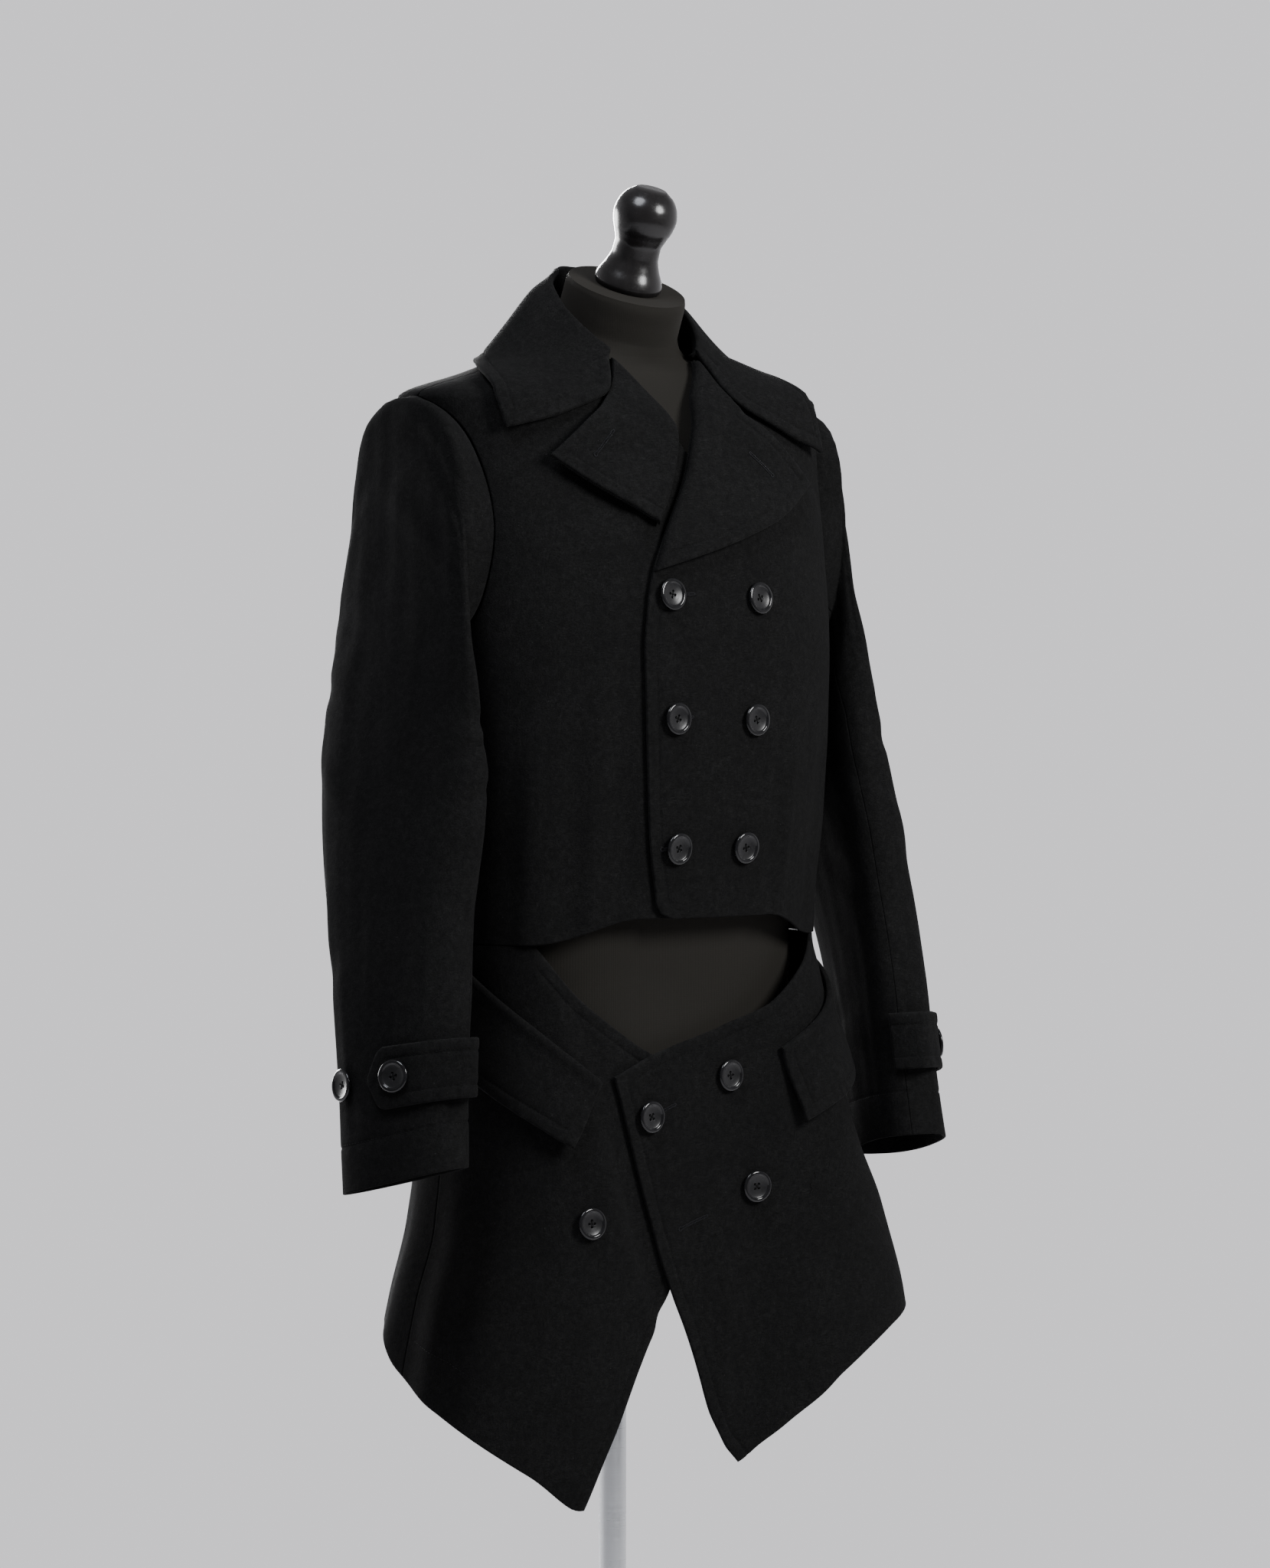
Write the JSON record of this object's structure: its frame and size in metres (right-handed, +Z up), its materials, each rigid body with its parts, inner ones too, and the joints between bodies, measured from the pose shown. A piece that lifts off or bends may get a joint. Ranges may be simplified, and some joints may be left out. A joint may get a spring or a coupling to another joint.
{
  "type": "double-breasted wool coat on a limbless dress form with its stand",
  "caption": "Double-breasted wool coat with wide lapels, a cropped top, an open waist and a split pointed skirt, worn by a limbless dress form on a round-based stand.",
  "frame": {"origin": "on the floor, at the middle of the base's underside, under the pole", "axes": "+Z up along the pole, -Y towards the coat's front, +X towards the wearer's left"},
  "size_m": [0.5864, 0.38, 1.6225],
  "materials": {
    "wool": "black felted melton wool with a short matt nap",
    "jersey": "dark brown fine jersey stretched over the form",
    "horn": "black polished button with a satin rim",
    "lacquer": "turned wood under gloss black lacquer",
    "steel": "satin steel"
  },
  "bodies": {
    "root": {"base": "steel", "pole": "steel", "form_torso": "jersey", "knob": "lacquer", "jacket_left_front": "wool", "jacket_right_front": "wool", "jacket_back": "wool", "left_lapel": "wool", "right_lapel": "wool", "collar": "wool", "left_sleeve_top": "wool", "left_sleeve_under": "wool", "right_sleeve_top": "wool", "right_sleeve_under": "wool", "left_strap": "wool", "right_strap": "wool", "skirt_left_front": "wool", "skirt_right_front": "wool", "skirt_back": "wool", "left_pocket_flap": "wool", "right_pocket_flap": "wool", "jacket_button_1": "horn", "jacket_button_2": "horn", "jacket_button_3": "horn", "jacket_button_4": "horn", "jacket_button_5": "horn", "jacket_button_6": "horn", "skirt_button_1": "horn", "skirt_button_2": "horn", "skirt_button_3": "horn", "skirt_button_4": "horn", "left_strap_button": "horn", "right_strap_button": "horn", "left_cuff_button": "horn", "right_cuff_button": "horn"}
  },
  "joints": []
}
